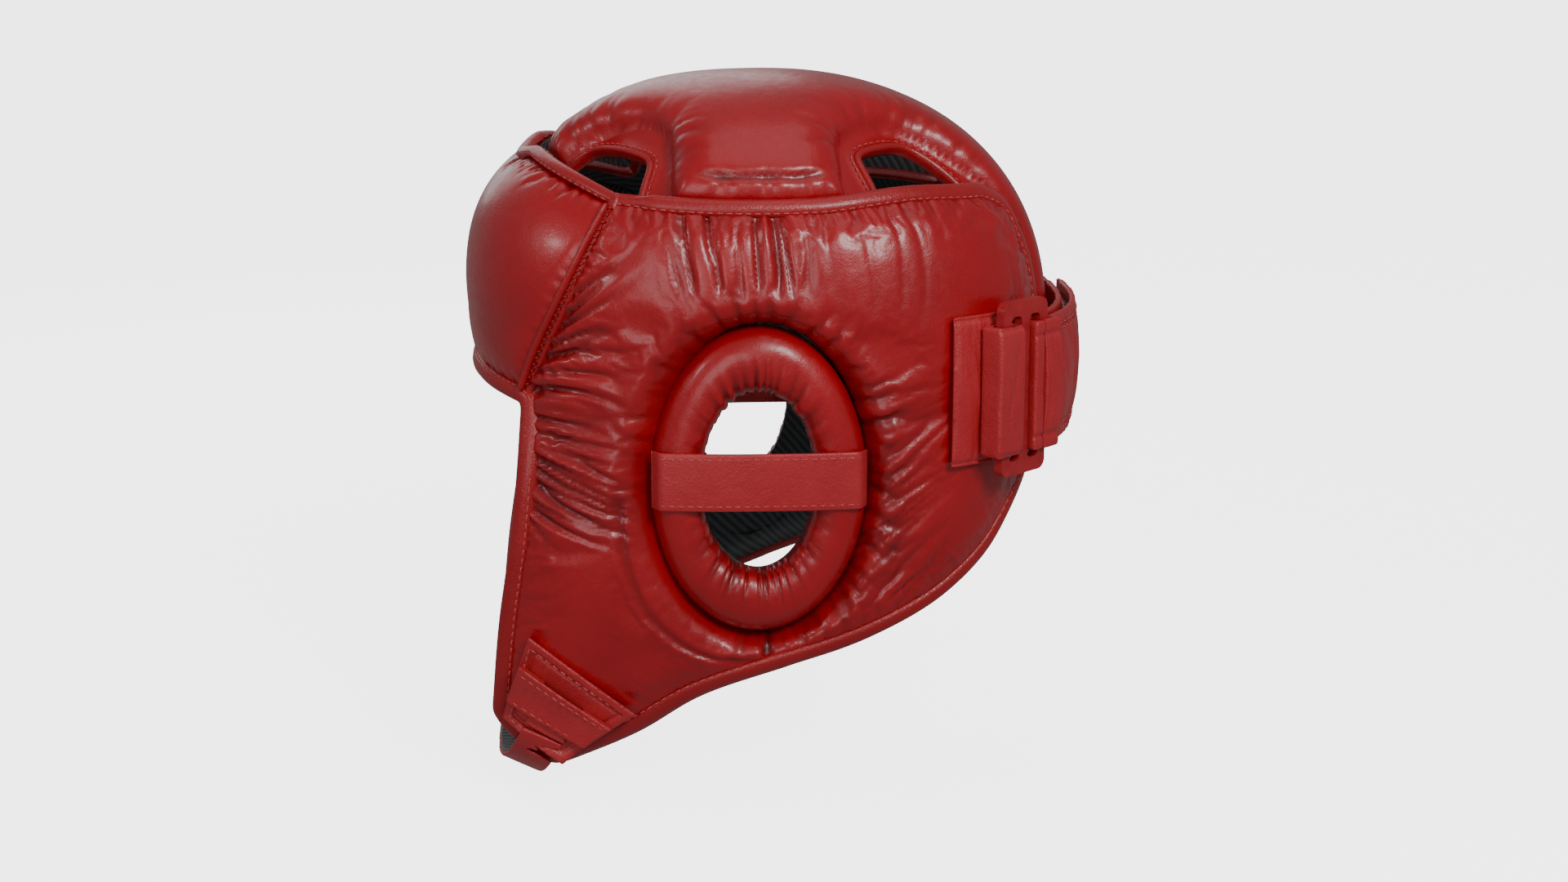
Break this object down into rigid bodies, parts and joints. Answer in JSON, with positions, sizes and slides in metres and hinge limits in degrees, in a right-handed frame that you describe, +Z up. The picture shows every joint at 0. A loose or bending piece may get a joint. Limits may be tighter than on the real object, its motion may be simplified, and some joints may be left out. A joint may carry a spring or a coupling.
{
  "type": "boxing headgear",
  "caption": "Padded boxing headgear with ear openings crossed by straps, a crown pad with windows, a buckled rear strap and a chin strap.",
  "frame": {"origin": "midpoint of the line between the centres of the two ear holes", "axes": "+Z up as worn, the face opening towards -Y, the wearer's left towards +X"},
  "size_m": [0.204, 0.2624, 0.3005],
  "materials": {
    "pad_leather": "glossy smooth red leather over padding",
    "strap_leather": "semi-gloss red leather strap",
    "binding_leather": "glossy red leather rolled edge",
    "lining_twill": "dark grey diagonal twill",
    "foam_core": "closed-cell foam, unseen",
    "buckle_plastic": "moulded red plastic",
    "hook_tape": "hook tape",
    "loop_tape": "loop tape"
  },
  "bodies": {
    "shell": {"binding_face": "binding_leather", "binding_lower_left": "binding_leather", "binding_lower_right": "binding_leather", "binding_rear_left": "binding_leather", "binding_rear_right": "binding_leather", "binding_top": "binding_leather", "chin_keeper_left": "strap_leather", "chin_keeper_right": "strap_leather", "chin_patch_left": "strap_leather", "chin_patch_right": "strap_leather", "chin_strap_root_left": "strap_leather", "chin_strap_root_right": "strap_leather", "chin_tab": "strap_leather", "chin_tab_hook_patch": "hook_tape", "crown_foam": "foam_core", "crown_lining": "lining_twill", "crown_skin": "pad_leather", "ear_ring_foam_left": "foam_core", "ear_ring_foam_right": "foam_core", "ear_ring_skin_left": "pad_leather", "ear_ring_skin_right": "pad_leather", "ear_strap_left": "strap_leather", "ear_strap_right": "strap_leather", "forehead_foam": "foam_core", "forehead_lining": "lining_twill", "forehead_skin": "pad_leather", "rear_anchor_left": "strap_leather", "rear_anchor_right": "strap_leather", "rear_keeper_left": "strap_leather", "rear_strap": "strap_leather", "rear_strap_loop_patch": "loop_tape", "seam_piping_left": "binding_leather", "seam_piping_right": "binding_leather", "side_foam_left": "foam_core", "side_foam_right": "foam_core", "side_lining_left": "lining_twill", "side_lining_right": "lining_twill", "side_skin_left": "pad_leather", "side_skin_right": "pad_leather", "window_binding_front_left": "binding_leather", "window_binding_front_right": "binding_leather", "window_binding_rear_left": "binding_leather", "window_binding_rear_right": "binding_leather"},
    "buckle": {"buckle": "buckle_plastic", "rear_strap_fold": "strap_leather"},
    "strap_tail": {"rear_strap_tail": "strap_leather", "rear_strap_hook_patch": "hook_tape"},
    "chin_strap": {"chin_strap": "strap_leather", "chin_strap_lining": "loop_tape"}
  },
  "joints": [
    {"name": "buckle_swing", "type": "hinge", "parent": "shell", "child": "buckle", "pos_m": [0.08839, 0.09688, 0.036], "axis": [0, 0, -1], "range_deg": [0, 8]},
    {"name": "strap_tail_peel", "type": "hinge", "parent": "buckle", "child": "strap_tail", "pos_m": [0.07852, 0.11595, 0.036], "axis": [0, 0, -1], "range_deg": [0, 110]},
    {"name": "chin_strap_release", "type": "hinge", "parent": "shell", "child": "chin_strap", "pos_m": [0.0762, -0.09159, -0.1113], "axis": [0, -0.8988, 0.4384], "range_deg": [0, 70]}
  ]
}
